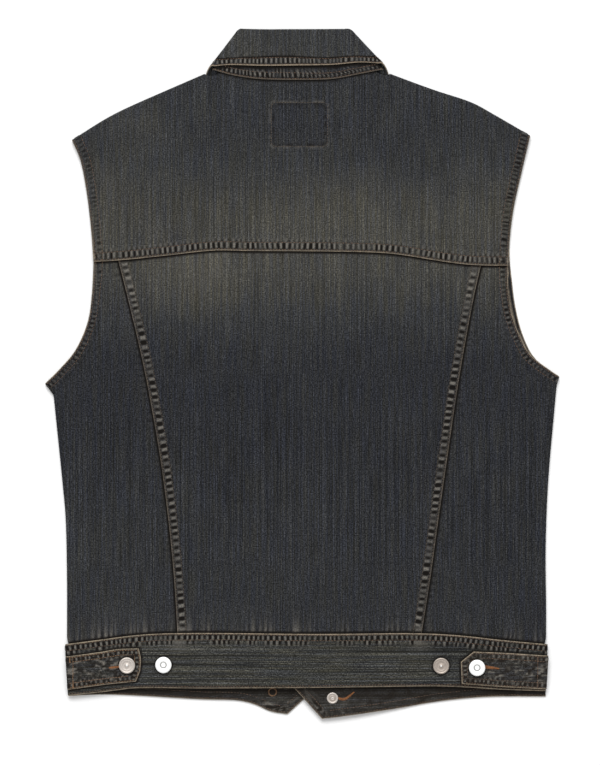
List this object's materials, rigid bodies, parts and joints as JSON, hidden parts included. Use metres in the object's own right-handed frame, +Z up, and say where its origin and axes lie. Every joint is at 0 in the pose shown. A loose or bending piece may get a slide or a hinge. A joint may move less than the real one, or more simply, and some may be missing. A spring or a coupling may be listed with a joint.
{
  "type": "denim vest",
  "caption": "Sleeveless denim vest laid flat on its front, with a turned-down collar, a back yoke, a lapped centre back panel and buttoned tabs on the waistband.",
  "frame": {"origin": "middle of the outline, on the surface that the vest lies on", "axes": "+X to the right across the back, +Y from the hem to the collar, +Z up from the surface, so that the back of the vest is up"},
  "size_m": [0.535, 0.7188, 0.0133],
  "materials": {
    "denim": "dark indigo twill, worn lighter along the seams",
    "band": "dark indigo twill with its grain along the band",
    "metal": "worn brushed metal"
  },
  "bodies": {
    "root": {"back_yoke": "denim", "back_centre": "denim", "back_side_left": "denim", "back_side_right": "denim", "waistband_back": "band", "waistband_front_left": "band", "waistband_front_right": "band", "front_left": "denim", "front_right": "denim", "placket_left": "denim", "placket_right": "denim", "collar": "denim", "tab_left": "band", "tab_right": "band", "button_tab_left": "metal", "button_waist_left": "metal", "button_waist_right": "metal", "button_tab_right": "metal", "button_front_1": "metal", "button_front_2": "metal", "button_front_3": "metal", "button_front_4": "metal", "button_front_5": "metal", "button_front_6": "metal", "tack_head": "metal"}
  },
  "joints": []
}
